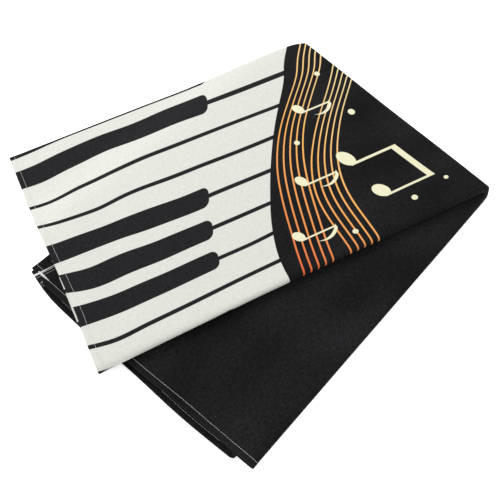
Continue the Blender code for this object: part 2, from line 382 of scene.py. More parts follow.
@dataclass
class TurnBack:
    """Turns the strip back over its slanted line and settles it with its swells and creases."""

    edge_places: Values = (0.0, 0.080, 0.160, 0.240, 0.320)
    edge_ahead: Values = (-0.0014, -0.0010, -0.0012, -0.0005, -0.0004)
    edge_fade: float = 0.090
    power: float = 4.2
    arm_gap: float = 0.0008
    closing_start: float = 0.008
    closing_length: float = 0.100
    lower_arm_width: float = 0.3165
    lower_hem_overhang: float = 0.008
    droop_start: float = 0.012
    droop_length: float = 0.064
    swells: tuple[Swell, ...] = (
        Swell(0.075, 0.095, 0.060, -0.07),
        Swell(0.150, 0.045, 0.055, 0.06),
        Swell(0.235, 0.100, 0.080, -0.05),
        Swell(0.330, 0.060, 0.060, 0.06),
        Swell(0.180, 0.230, 0.090, 0.05),
        Swell(0.350, 0.240, 0.080, -0.04),
    )
    creases: tuple[Crease, ...] = (
        Crease((0.020, 0.047), (0.205, 0.020), 0.026, -0.26),
        Crease((0.010, 0.112), (0.120, 0.090), 0.030, 0.10),
        Crease((0.110, 0.100), (0.240, 0.060), 0.022, 0.08),
        Crease((0.230, 0.022), (0.330, 0.018), 0.018, -0.10),
        Crease((0.106, 0.413), (0.010, 0.219), 0.016, 0.05),
        Crease((0.149, 0.400), (0.037, 0.205), 0.018, -0.06),
        Crease((0.205, 0.372), (0.100, 0.180), 0.024, 0.04),
    )

    def relief(self, along: Array, across: Array) -> Array:
        """Return the share by which the stack stands higher at places in the plan."""
        total = np.ones_like(along)
        for hill in self.swells:
            distance = np.hypot(along - hill.along, across - hill.across) / hill.reach
            total += hill.share * np.exp(-distance * distance)
        for crease in self.creases:
            total += crease.rise(along, across)
        return total

    def place(self, along: Array, across: Array, height: Array) -> Array:
        """Take points of the straight strip to the folded cover.

        Args:
            along: places along the strip, from the lower arm's hem.
            across: places across the strip, from the spine.
            height: heights in the strip while it lies straight.

        Returns:
            The world places, with a last axis of three.
        """
        ahead = (along - LOWER_ARM) * math.sin(SKEW) - across * math.cos(SKEW)
        beside = (along - LOWER_ARM) * math.cos(SKEW) + across * math.sin(SKEW)
        radius = TURN_AXIS_HEIGHT - height
        past = ahead - TURN_START
        turned = past > TURN_ARC
        angle = np.clip(past / TURN_MIDDLE_RADIUS, 0.0, math.pi)
        turning = (past > 0.0) & ~turned
        reach = radius * squared(angle, self.power)
        ahead = np.where(turned, TURN_START + TURN_ARC - past, ahead)
        ahead = np.where(turning, TURN_START + reach * np.sin(angle), ahead)
        height = np.where(turned, TURN_AXIS_HEIGHT + radius, height)
        height = np.where(turning, TURN_AXIS_HEIGHT - reach * np.cos(angle), height)
        behind = np.maximum(TURN_START - ahead, 0.0)
        shift = SmoothTable(self.edge_places, self.edge_ahead).at(beside)
        ahead = ahead + shift * (1.0 - smooth_step(behind / self.edge_fade))
        plan_along = LOWER_ARM + ahead * math.sin(SKEW) + beside * math.cos(SKEW)
        plan_across = beside * math.sin(SKEW) - ahead * math.cos(SKEW)
        closing = 2 * TURN_INNER_RADIUS - self.arm_gap
        settled = closing * smooth_step((behind - self.closing_start) / self.closing_length)
        aside = np.maximum(plan_across - self.lower_arm_width, 0.0)
        before = np.maximum(-plan_along - self.lower_hem_overhang, 0.0)
        beyond = np.hypot(aside, before)
        droop = smooth_step((beyond - self.droop_start) / self.droop_length)
        height = height - np.where(turned, settled + (STACK + self.arm_gap) * droop, 0.0)
        height = np.maximum(height * self.relief(plan_along, plan_across), 0.0) - SHEET_DROP
        forward = np.array((math.cos(ARM_HEADING), math.sin(ARM_HEADING)))
        leftward = np.array((-math.sin(ARM_HEADING), math.cos(ARM_HEADING)))
        world_x = forward[0] * plan_along + leftward[0] * plan_across - PLAN_CENTRE[0]
        world_y = forward[1] * plan_along + leftward[1] * plan_across - PLAN_CENTRE[1]
        return np.stack((world_x, world_y, height), axis=-1)


@dataclass(frozen=True)
class ClothPull:
    """How far the handled cloth is drawn aside, at places from its upper hem and across it."""

    across: Values = (-0.050, 0.024, 0.059, 0.098, 0.142, 0.184, 0.225, 0.262, 0.292, 0.313)
    from_hem: Values = (0.000, 0.025, 0.060, 0.105, 0.150, 0.195, 0.240, 0.340)
    rows: Table = (
        (0.0, 0.0, -0.0050, -0.0010, -0.0020, 0.0015, -0.0040, 0.0015, 0.0055, 0.0105),
        (0.0, -0.0055, -0.0075, -0.0090, -0.0025, -0.0050, -0.0080, 0.0010, 0.0065, 0.0115),
        (0.0, -0.0045, -0.0090, -0.0080, -0.0025, -0.0065, -0.0045, 0.0050, 0.0105, 0.0140),
        (0.0, -0.0035, -0.0100, -0.0110, -0.0065, -0.0035, -0.0035, 0.0085, 0.0135, 0.0155),
        (0.0, -0.0020, -0.0090, -0.0110, -0.0095, -0.0050, -0.0025, 0.0045, 0.0125, 0.0170),
        (0.0, -0.0010, -0.0090, -0.0110, -0.0090, -0.0050, -0.0020, 0.0040, 0.0140, 0.0180),
        (0.0, -0.0005, -0.0060, -0.0105, -0.0090, -0.0055, -0.0015, 0.0020, 0.0120, 0.0180),
        (0.0, -0.0010, -0.0080, -0.0100, -0.0075, -0.0035, -0.0015, 0.0020, 0.0115, 0.0150),
    )
    under_across: Values = (0.313, 0.381, 0.508, 0.526, 0.567)
    under: Values = (0.0150, -0.0060, 0.0255, 0.0155, 0.0280)

    def aside(self, from_hem: Array, across: Array) -> Array:
        """Return how far the cloth is drawn aside at places on it."""
        columns = np.stack(
            [smooth_curve(self.across, np.array(row), across).ravel() for row in self.rows]
        )
        top = smooth_curve(self.from_hem, columns, from_hem)
        below = smooth_curve(self.under_across, np.array(self.under), across)
        change = self.under_across[1] - self.under_across[0]
        share = smooth_step((across - self.across[-1]) / change)
        return top + (below - top) * share


# Where each stretch of the strip starts, and which way and how far its rows' places run
STRETCHES = {"lower": (0.0, 1.0), "turn": (LOWER_ARM, 0.03), "upper": (CLOTH_DEPTH, -1.0)}


@dataclass
class ClothSurface:
    """The cloth's middle surface as a grid: rows along the strip, lines along the cloth's path."""

    strip: FoldedStrip = field(default_factory=FoldedStrip)
    hems: EndHems = field(default_factory=EndHems)
    turn: TurnBack = field(default_factory=TurnBack)
    hem_rows: Values = FROM_EDGE
    first_row: float = 0.013
    lower_steps: int = 58
    turn_steps: int = 20
    upper_steps: int = 66

    def row_fractions(self) -> list[tuple[str, float]]:
        """Return the rows: for each, the stretch of the strip that it lies on and its place."""
        start = turn_start_along(0.0)
        lower = [*self.hem_rows, *np.linspace(self.first_row, start, self.lower_steps)[:-1]]
        longest = CLOTH_DEPTH - start - TURN_LENGTH
        upper = [*self.hem_rows, *np.linspace(self.first_row, longest, self.upper_steps)[:-1]]
        rows = [("lower", place) for place in lower]
        rows += [("turn", step / self.turn_steps) for step in range(self.turn_steps + 1)]
        return rows + [("upper", place) for place in upper[::-1]]

    def nominal(self, stretch: str, place: float, across: Array) -> Array:
        """Return where a row lies along the flat cloth, at places across the strip."""
        start = turn_start_along(across)
        if stretch == "lower":
            return start * place / turn_start_along(0.0)
        if stretch == "turn":
            return start + TURN_LENGTH * place
        longest = CLOTH_DEPTH - turn_start_along(0.0) - TURN_LENGTH
        return CLOTH_DEPTH - place * (CLOTH_DEPTH - start - TURN_LENGTH) / longest

    def shifted(self, stretch: str, line: SheetLine, nominal: Array, across: Array) -> Array:
        """Return the row's place along the strip once its layer has slipped to its own hem."""
        if stretch == "lower":
            inset = self.hems.inset(self.hems.lower, line, across)
            return nominal + inset * (1.0 - smooth_step(nominal / HEM_FADE))
        if stretch == "turn":
            return nominal
        inset = self.hems.inset(self.hems.upper, line, across)
        return nominal - inset * (1.0 - smooth_step((CLOTH_DEPTH - nominal) / HEM_FADE))

    def grid(self, rows: list[tuple[str, float]]) -> tuple[Array, Array, list[SheetLine]]:
        """Lay the rows over all lines of the sheet.

        Args:
            rows: the rows, as row_fractions gives them.

        Returns:
            World places by row and line, flat places (along, and across from the spine) by row
            and line, and the lines.
        """
        lines = self.strip.lines()
        world = np.zeros((len(rows), len(lines), 3))
        flat = np.zeros((len(rows), len(lines), 2))
        section = np.zeros((len(rows), len(lines), 2))
        for number, line in enumerate(lines):
            for stretch, (start, run) in STRETCHES.items():
                picked = [index for index, row in enumerate(rows) if row[0] == stretch]
                if not picked:
                    continue
                place = np.array([rows[index][1] for index in picked])
                across, _ = line.section(start + run * place)
                nominal = self.nominal(stretch, place, across)
                along = self.shifted(stretch, line, nominal, across)
                across, height = line.section(along)
                world[picked, number] = self.turn.place(along, across, height)
                flat[picked, number, 0] = nominal
                section[picked, number] = np.stack((across, height), axis=-1)
        steps = np.linalg.norm(np.diff(section, axis=1), axis=2)
        path = np.concatenate((np.zeros((len(rows), 1)), np.cumsum(steps, axis=1)), axis=1)
        reference = self.reference_line(lines)
        flat[:, :, 1] = lines[reference].across + path[:, reference][:, None] - path
        return world, flat, lines

    def reference_line(self, lines: list[SheetLine]) -> int:
        """Return which line of the top layer the print is placed from."""
        on_top = [
            (abs(line.across - REFERENCE_ACROSS), number)
            for number, line in enumerate(lines)
            if line.place is Place.FLAT and line.layer == 1
        ]
        return min(on_top)[1]


class Nodes:
    """Short ways to add the nodes that a material's formulas need."""

    def __init__(self, name: str) -> None:
        """Start a material with an empty tree but for its shader."""
        self.material = bpy.data.materials.new(name)
        self.material.use_nodes = True
        self.tree = self.material.node_tree
        self.shader = self.tree.nodes["Principled BSDF"]

    def put(self, socket: Socket, value: object) -> None:
        """Link a socket to a value's socket, or set it to the value."""
        if isinstance(value, Socket):
            self.tree.links.new(value, socket)
        else:
            socket.default_value = value

    def math(self, operation: str, *values: object) -> Socket:
        """Add one Math node over numbers or sockets and return its output."""
        node = self.tree.nodes.new("ShaderNodeMath")
        node.operation = operation
        for socket, value in zip(node.inputs, values):
            self.put(socket, value)
        return node.outputs[0]

    def chain(self, operation: str, *values: object) -> Socket:
        """Carry one operation through numbers or sockets, from the first to the last."""
        result = values[0]
        for value in values[1:]:
            result = self.math(operation, result, value)
        return result

    def fix(self, values: dict[str, object]) -> None:
        """Set or link the shader's sockets by their names."""
        for name, value in values.items():
            self.put(self.shader.inputs[name], value)

    def total(self, *values: object) -> Socket:
        """Return the sum of numbers or sockets."""
        return self.chain("ADD", *values)

    def minus(self, first: object, second: object) -> Socket:
        """Return the first number or socket less the second."""
        return self.math("SUBTRACT", first, second)

    def apart(self, first: object, second: object) -> Socket:
        """Return how far apart two numbers or sockets are."""
        return self.math("ABSOLUTE", self.minus(first, second))

    def times(self, first: object, second: object) -> Socket:
        """Return the product of two numbers or sockets."""
        return self.math("MULTIPLY", first, second)

    def distance(self, first: object, second: object) -> Socket:
        """Return the root of the sum of two squares."""
        squares = self.total(self.times(first, first), self.times(second, second))
        return self.math("SQRT", squares)

    def above(self, value: object, edge: object, soft: float) -> Socket:
        """Return 1 where a value is over an edge and 0 where it is under, with a soft border."""
        off = self.minus(value, edge)
        node = self.tree.nodes.new("ShaderNodeMapRange")
        node.interpolation_type = "SMOOTHSTEP"
        self.put(node.inputs["Value"], off)
        node.inputs["From Min"].default_value = -soft
        node.inputs["From Max"].default_value = soft
        return node.outputs["Result"]

    def below(self, value: object, edge: object, soft: float) -> Socket:
        """Return 1 where a value is under an edge and 0 where it is over."""
        return self.minus(1.0, self.above(value, edge, soft))

    def either(self, *masks: object) -> Socket:
        """Return the largest of some masks."""
        return self.chain("MAXIMUM", *masks)

    def both(self, *masks: object) -> Socket:
        """Return the product of some masks."""
        return self.chain("MULTIPLY", *masks)

    def flat_place(self, name: str) -> tuple[Socket, Socket]:
        """Return the two coordinates of one of the cloth's UV maps."""
        node = self.tree.nodes.new("ShaderNodeUVMap")
        node.uv_map = name
        split = self.tree.nodes.new("ShaderNodeSeparateXYZ")
        self.tree.links.new(node.outputs["UV"], split.inputs[0])
        return split.outputs[0], split.outputs[1]

    def noise(
        self, first: object, second: object, scales: tuple[float, float], detail: float
    ) -> Socket:
        """Return noise over two coordinates, each with its own scale."""
        vector = self.tree.nodes.new("ShaderNodeCombineXYZ")
        for socket, place, scale in zip(vector.inputs, (first, second), scales):
            self.put(socket, self.times(place, scale))
        node = self.tree.nodes.new("ShaderNodeTexNoise")
        node.inputs["Scale"].default_value = 1.0
        node.inputs["Detail"].default_value = detail
        self.put(node.inputs["Vector"], vector.outputs[0])
        return node.outputs["Fac"]

    def mix(self, share: object, first: object, second: object) -> Socket:
        """Return the blend of two colours."""
        node = self.tree.nodes.new("ShaderNodeMix")
        node.data_type = "RGBA"
        sockets = (node.inputs[0], node.inputs[6], node.inputs[7])
        for socket, value in zip(sockets, (share, first, second)):
            self.put(socket, value)
        return node.outputs[2]

    def shaded(self, colour: object, share: object) -> Socket:
        """Return a colour multiplied by a number."""
        node = self.tree.nodes.new("ShaderNodeVectorMath")
        node.operation = "SCALE"
        self.put(node.inputs[0], colour[:3] if isinstance(colour, tuple) else colour)
        self.put(node.inputs["Scale"], share)
        return node.outputs[0]


class ClothNodes(Nodes):
    """A fabric's nodes, with a place on the flat cloth and its distances from the hems."""

    def __init__(self, name: str) -> None:
        """Start a material and read the cloth's two UV maps."""
        super().__init__(name)
        self.along, self.across = self.flat_place("cloth")
        self.from_end, self.from_side = self.flat_place("hems")
        self.from_upper = self.minus(CLOTH_DEPTH, self.along)


@dataclass(frozen=True)
class KeyBorder:
    """The printed keyboard along the upper hem: plain keys with a waved front line.

    Of every seven gaps, 1 to 3 and 5 and 6 carry a black key. The first gap past skip_from isn't
    counted and carries none.
    """

    pitch: float = 0.0403
    first_gap: float = 0.0270
    gap_width: float = 0.0053
    black_width: float = 0.0244
    black_round: float = 0.0085
    black_share: float = 0.676
    black_extra: float = 0.0051
    front_middle: float = 0.3772
    front_swing: float = 0.1695
    front_wave: float = 1.20
    front_low_at: float = -0.0104
    keys_in_turn: int = 7
    skip_from: float = 4.5
    three_from: float = 0.5
    three_to: float = 3.5
    two_from: float = 4.5
    soft: float = 0.00018

    def front(self, nodes: ClothNodes) -> Socket:
        """Return the keys' length at a place along the keyboard."""
        turn = 2 * math.pi / self.front_wave
        angle = nodes.times(nodes.minus(nodes.across, self.front_low_at), turn)
        swing = nodes.times(nodes.math("COSINE", angle), -self.front_swing)
        return nodes.total(swing, self.front_middle)

    def masks(self, nodes: ClothNodes) -> tuple[Socket, Socket]:
        """Return a mask of the whole key field and a mask of its black keys and gaps."""
        count = nodes.math("DIVIDE", nodes.minus(nodes.across, self.first_gap), self.pitch)
        number = nodes.math("ROUND", count)
        off = nodes.times(nodes.apart(count, number), self.pitch)
        counted = nodes.minus(number, nodes.above(number, self.skip_from, COUNT_SOFT))
        turn = nodes.math("FLOORED_MODULO", counted, float(self.keys_in_turn))
        in_three = nodes.both(
            nodes.above(turn, self.three_from, COUNT_SOFT),
            nodes.below(turn, self.three_to, COUNT_SOFT),
        )
        black_here = nodes.either(in_three, nodes.above(turn, self.two_from, COUNT_SOFT))
        front = self.front(nodes)
        black_end = nodes.total(nodes.times(front, self.black_share), self.black_extra)
        aside = nodes.minus(off, self.black_width / 2 - self.black_round)
        past = nodes.minus(nodes.from_upper, nodes.minus(black_end, self.black_round))
        aside = nodes.math("MAXIMUM", aside, 0.0)
        past = nodes.math("MAXIMUM", past, 0.0)
        far = nodes.distance(aside, past)
        black = nodes.both(nodes.below(far, self.black_round, self.soft), black_here)
        gap = nodes.below(off, self.gap_width / 2, self.soft)
        return nodes.below(nodes.from_upper, front, self.soft), nodes.either(black, gap)


# The shape of every note, in shares of its head's size
HEAD_TILT = math.radians(26.0)
HEAD_FLATNESS = 1.45
STEM_ASIDE = 0.84
STEM_HALF = 0.14
FLAG_LENGTH = 3.6
FLAG_EASE = 0.8
FLAG_SWEEP = 2.3
FLAG_BOW = 1.45
FLAG_HALF = 0.42


@dataclass(frozen=True)
class Note:
    """A plain printed note: its head's place, its size and its stem's length."""

    from_upper: float
    across: float
    size: float
    stem: float
    flagged: bool = True

    def draw(self, nodes: ClothNodes, soft: float) -> Socket:
        """Return a mask of head, stem and flag with a soft border."""
        up = nodes.minus(nodes.from_upper, self.from_upper)
        side = nodes.minus(self.across, nodes.across)
        long_way = nodes.total(
            nodes.times(side, math.cos(HEAD_TILT)),
            nodes.times(up, math.sin(HEAD_TILT)),
        )
        short_way = nodes.total(
            nodes.times(up, HEAD_FLATNESS * math.cos(HEAD_TILT)),
            nodes.times(side, -HEAD_FLATNESS * math.sin(HEAD_TILT)),
        )
        head = nodes.below(nodes.distance(long_way, short_way), self.size, soft)
        past = nodes.minus(side, self.size * STEM_ASIDE)
        stem = nodes.both(
            nodes.below(nodes.math("ABSOLUTE", past), self.size * STEM_HALF, soft),
            nodes.above(up, 0.0, soft),
            nodes.below(up, self.stem, soft),
        )
        if not self.flagged:
            return nodes.either(head, stem)
        from_top = nodes.minus(self.stem, up)
        fall = nodes.math("MAXIMUM", from_top, 0.0)
        share = nodes.math("MINIMUM", nodes.times(fall, 1.0 / (self.size * FLAG_LENGTH)), 1.0)
        sweep = nodes.times(nodes.math("POWER", share, FLAG_EASE), FLAG_SWEEP)
        bow = nodes.times(nodes.math("SINE", sweep), self.size * FLAG_BOW)
        half = nodes.minus(nodes.times(nodes.minus(1.0, share), self.size * FLAG_HALF), soft)
        flag = nodes.both(
            nodes.below(nodes.apart(past, bow), half, soft),
            nodes.above(from_top, 0.0, soft),
        )
        return nodes.either(head, stem, flag)


@dataclass(frozen=True)
class StaffDesign:
    """Waved staves of five lines with plain notes and dots, on the black beyond the keys."""

    staves: tuple[Spot, ...] = (
        (0.015, 0.007, 0.4),
        (0.066, 0.010, 1.5),
    )
    lines_in_stave: int = 5
    line_pitch: float = 0.0090
    line_width: float = 0.0021
    wave_length: float = 0.250
    notes: tuple[Note, ...] = (
        Note(0.2440, 0.046, 0.0085, 0.044),
        Note(0.2860, 0.118, 0.0085, 0.044),
        Note(0.3420, 0.212, 0.0085, 0.042),
    )
    pair: tuple[Note, Note] = (
        Note(0.3500, 0.122, 0.0125, 0.064, False),
        Note(0.3590, 0.060, 0.0125, 0.068, False),
    )
    beam_half: float = 0.0042
    dots: tuple[Spot, ...] = (
        (0.3860, 0.028, 0.0038),
        (0.3980, 0.178, 0.0044),
        (0.3120, 0.168, 0.0034),
        (0.3960, 0.252, 0.0036),
        (0.4360, 0.036, 0.0030),
        (0.3020, 0.020, 0.0034),
    )
    soft: float = 0.00018

    def lines(self, nodes: ClothNodes, from_front: Socket) -> Socket:
        """Return a mask of the staves' lines."""
        masks = []
        for start, swing, phase in self.staves:
            angle = nodes.total(nodes.times(nodes.across, 2 * math.pi / self.wave_length), phase)
            base = nodes.total(nodes.times(nodes.math("SINE", angle), swing), start)
            count = nodes.math("DIVIDE", nodes.minus(from_front, base), self.line_pitch)
            number = nodes.math("ROUND", count)
            half = self.line_width / 2 / self.line_pitch
            line = nodes.below(nodes.apart(count, number), half, self.soft / self.line_pitch)
            in_stave = nodes.both(
                nodes.above(number, -0.5, COUNT_SOFT),
                nodes.below(number, self.lines_in_stave - 0.5, COUNT_SOFT),
            )
            masks.append(nodes.both(line, in_stave))
        return nodes.either(*masks)

    def beam(self, nodes: ClothNodes) -> Socket:
        """Return a mask of the beam that joins the pair's stems."""
        first, second = self.pair
        start = first.across - first.size * STEM_ASIDE
        run = second.across - second.size * STEM_ASIDE - start
        rise = second.from_upper + second.stem - first.from_upper - first.stem
        share = nodes.times(nodes.minus(nodes.across, start), 1.0 / run)
        top = first.from_upper + first.stem - self.beam_half
        off = nodes.apart(nodes.from_upper, nodes.total(nodes.times(share, rise), top))
        edge = self.soft / abs(run)
        spare = first.size * STEM_HALF / abs(run)
        return nodes.both(
            nodes.below(off, self.beam_half, self.soft),
            nodes.above(share, -spare, edge),
            nodes.below(share, 1.0 + spare, edge),
        )

    def dot(self, nodes: ClothNodes, spot: Spot) -> Socket:
        """Return a mask of one round dot."""
        up = nodes.minus(nodes.from_upper, spot[0])
        side = nodes.minus(nodes.across, spot[1])
        return nodes.below(nodes.distance(up, side), spot[2], self.soft)

    def figures(self, nodes: ClothNodes) -> Socket:
        """Return a mask of the notes and dots."""
        masks = [note.draw(nodes, self.soft) for note in self.notes + self.pair]
        masks.append(self.beam(nodes))
        masks += [self.dot(nodes, spot) for spot in self.dots]
        return nodes.either(*masks)


@dataclass(frozen=True)
class FabricFinish:
    """The printed fabric's colours, weave and surface."""

    ground: Colour = (0.0076, 0.0076, 0.0082, 1.0)
    key_black: Colour = (0.0121, 0.0119, 0.0134, 1.0)
    ivory: Colour = (0.520, 0.523, 0.484, 1.0)
    line_near: Colour = (0.56, 0.115, 0.040, 1.0)
    line_middle: Colour = (0.68, 0.330, 0.090, 1.0)
    line_far: Colour = (0.64, 0.540, 0.280, 1.0)
    figure: Colour = (0.62, 0.600, 0.420, 1.0)
    bare: Colour = (0.52, 0.52, 0.50, 1.0)
    thread_edge: Colour = (0.52, 0.52, 0.51, 1.0)
    roughness: float = 0.88
    specular: float = 0.04
    sheen: float = 0.02
    sheen_roughness: float = 0.5
    thread_pitch: float = 0.0009
    rib_pitch: float = 0.0026
    rib_waver: float = 5.0
    rib_height: float = 0.5
    slub_scales: tuple[float, float] = (200.0, 620.0)
    slub_detail: float = 2.0
    slub_height: float = 2.0
    slub_share: float = 1.0
    rib_share: float = 0.07
    pale_grain: float = 0.20
    dark_grain: float = 1.60
    key_grain: float = 1.00
    # Painted shade and sheen: soft noise patches darken and lighten the black ground in place of
    # the light and shade of gentle folds.
    painted_shade_scales: tuple[float, float] = (9.0, 13.0)
    painted_shade_depth: float = 1.90
    darkest: float = 0.2
    bump: float = 0.25
    relief: float = 0.0002
    grade_across: float = 2.6
    grade_out: float = 4.4
    grade_start: float = -0.10
    # Painted highlight: a thin lighter line along each hem's folded edge, where the edge catches
    # light.
    edge_highlight_width: float = 0.0008
    edge_highlight_soft: float = 0.0003
    edge_highlight_share: float = 0.012
    edge_width: float = 0.0007
    edge_flare: float = 0.0022
    edge_flare_reach: float = 0.011
    turned_line: float = 0.0025
    turned_line_half: float = 0.00025
    turned_line_soft: float = 0.0001
    turned_line_share: float = 0.8
    turned_extra: float = 0.0015
    soft: float = 0.0002
    reverse_fade: float = 0.82

    def weave(self, nodes: ClothNodes) -> tuple[Socket, Socket]:
        """Return the weave's grain, about 0, and its height."""
        scales = self.slub_scales
        slub_along = nodes.noise(nodes.along, nodes.across, scales, self.slub_detail)
        slub_across = nodes.noise(nodes.along, nodes.across, scales[::-1], self.slub_detail)
        slubs = nodes.minus(nodes.total(slub_along, slub_across), 1.0)
        turn = 2 * math.pi / self.thread_pitch
        warp = nodes.math("SINE", nodes.times(nodes.along, turn))
        weft = nodes.math("SINE", nodes.times(nodes.across, turn))
        rib_angle = nodes.times(nodes.across, 2 * math.pi / self.rib_pitch)
        ribs = nodes.math("SINE", nodes.total(rib_angle, nodes.times(slub_along, self.rib_waver)))
        grain = nodes.total(nodes.times(slubs, self.slub_share), nodes.times(ribs, self.rib_share))
        height = nodes.total(
            nodes.times(warp, weft),
            nodes.times(slubs, self.slub_height),
            nodes.times(ribs, self.rib_height),
        )
        return grain, height

    def surface(self, nodes: ClothNodes, colour: Socket, height: Socket) -> None:
        """Set the shader's colour, roughness, sheen and weave relief."""
        bump = nodes.tree.nodes.new("ShaderNodeBump")
        bump.inputs["Strength"].default_value = self.bump
        bump.inputs["Distance"].default_value = self.relief
        nodes.put(bump.inputs["Height"], height)
        nodes.fix({
            "Base Color": colour,
            "Roughness": self.roughness,
            "Specular IOR Level": self.specular,
            "Sheen Weight": self.sheen,
            "Sheen Roughness": self.sheen_roughness,
            "Normal": bump.outputs["Normal"],
        })

    def grained(self, nodes: ClothNodes, colour: object, grain: Socket, share: float) -> Socket:
        """Return a colour with a share of the weave's grain on it."""
        tone = nodes.total(1.0, nodes.times(grain, share))
        return nodes.shaded(colour, nodes.math("MAXIMUM", tone, self.darkest))

    def print_colour(self, nodes: ClothNodes, grain: Socket) -> Socket:
        """Return the colour of the print and its grain at a place on the flat cloth."""
        border = KeyBorder()
        design = StaffDesign()
        key_field, dark = border.masks(nodes)
        from_front = nodes.minus(nodes.from_upper, border.front(nodes))
        lines = design.lines(nodes, from_front)
        climb = nodes.times(nodes.across, self.grade_across)
        grade = nodes.total(climb, nodes.times(from_front, self.grade_out), self.grade_start)
        twice = nodes.times(grade, 2.0)
        warm = nodes.mix(twice, self.line_near, self.line_middle)
        warm.node.clamp_factor = True
        tint = nodes.mix(nodes.minus(twice, 1.0), warm, self.line_far)
        tint.node.clamp_factor = True
        # Painted shade and sheen on the black ground: soft noise patches in place of the light and
        # shade of gentle folds.
        painted_shade_patches = nodes.noise(nodes.along, nodes.across, self.painted_shade_scales, 1.0)
        shade = nodes.total(nodes.times(painted_shade_patches, self.painted_shade_depth), 1.0 - self.painted_shade_depth / 2)
        ground = self.grained(nodes, nodes.shaded(self.ground, shade), grain, self.dark_grain)
        ground = nodes.mix(lines, ground, self.grained(nodes, tint, grain, self.pale_grain))
        figure = self.grained(nodes, self.figure, grain, self.pale_grain)
        ground = nodes.mix(design.figures(nodes), ground, figure)
        ivory = self.grained(nodes, self.ivory, grain, self.pale_grain)
        black = self.grained(nodes, self.key_black, grain, self.key_grain)
        return nodes.mix(key_field, ground, nodes.mix(dark, ivory, black))

    def highlit_folds_and_selvedge(self, nodes: ClothNodes, colour: Socket) -> Socket:
        """Return the colour with painted highlights on the hems' folded edges and the side hems'
        pale selvedge.
        """
        # Painted highlight along the hems' folded edges, where light catches them.
        fold = nodes.below(nodes.from_end, self.edge_highlight_width, self.edge_highlight_soft)
        colour = nodes.mix(nodes.times(fold, self.edge_highlight_share), colour, self.bare)
        reach = nodes.times(nodes.along, 1.0 / self.edge_flare_reach)
        flare = nodes.math("POWER", math.e, nodes.times(nodes.times(reach, reach), -1.0))
        width = nodes.total(nodes.times(flare, self.edge_flare), self.edge_width)
        pale = nodes.below(nodes.from_side, width, self.soft)
        off = nodes.apart(nodes.from_side, self.turned_line)
        line = nodes.below(off, self.turned_line_half, self.turned_line_soft)
        line = nodes.times(line, self.turned_line_share)
        return nodes.mix(nodes.either(pale, line), colour, self.thread_edge)

    def printed_side(self) -> bpy.types.Material:
        """Make the printed side's material."""
        nodes = ClothNodes("printed_fabric")
        grain, height = self.weave(nodes)
        colour = self.print_colour(nodes, grain)
        self.surface(nodes, self.highlit_folds_and_selvedge(nodes, colour), height)
        return nodes.material

    def bare_side(self) -> bpy.types.Material:
        """Make the unprinted side's material, with the printed side turned over at its hems."""
        nodes = ClothNodes("fabric_reverse")
        grain, height = self.weave(nodes)
        colour = self.print_colour(nodes, grain)
        reach = HEM + self.turned_extra
        turned = nodes.either(
            nodes.below(nodes.from_end, reach, self.soft),
            nodes.below(nodes.from_side, reach, self.soft),
        )
        bare = self.grained(nodes, self.bare, grain, self.pale_grain)
        faded = nodes.mix(self.reverse_fade, colour, bare)
        self.surface(nodes, nodes.mix(turned, faded, colour), height)
        return nodes.material


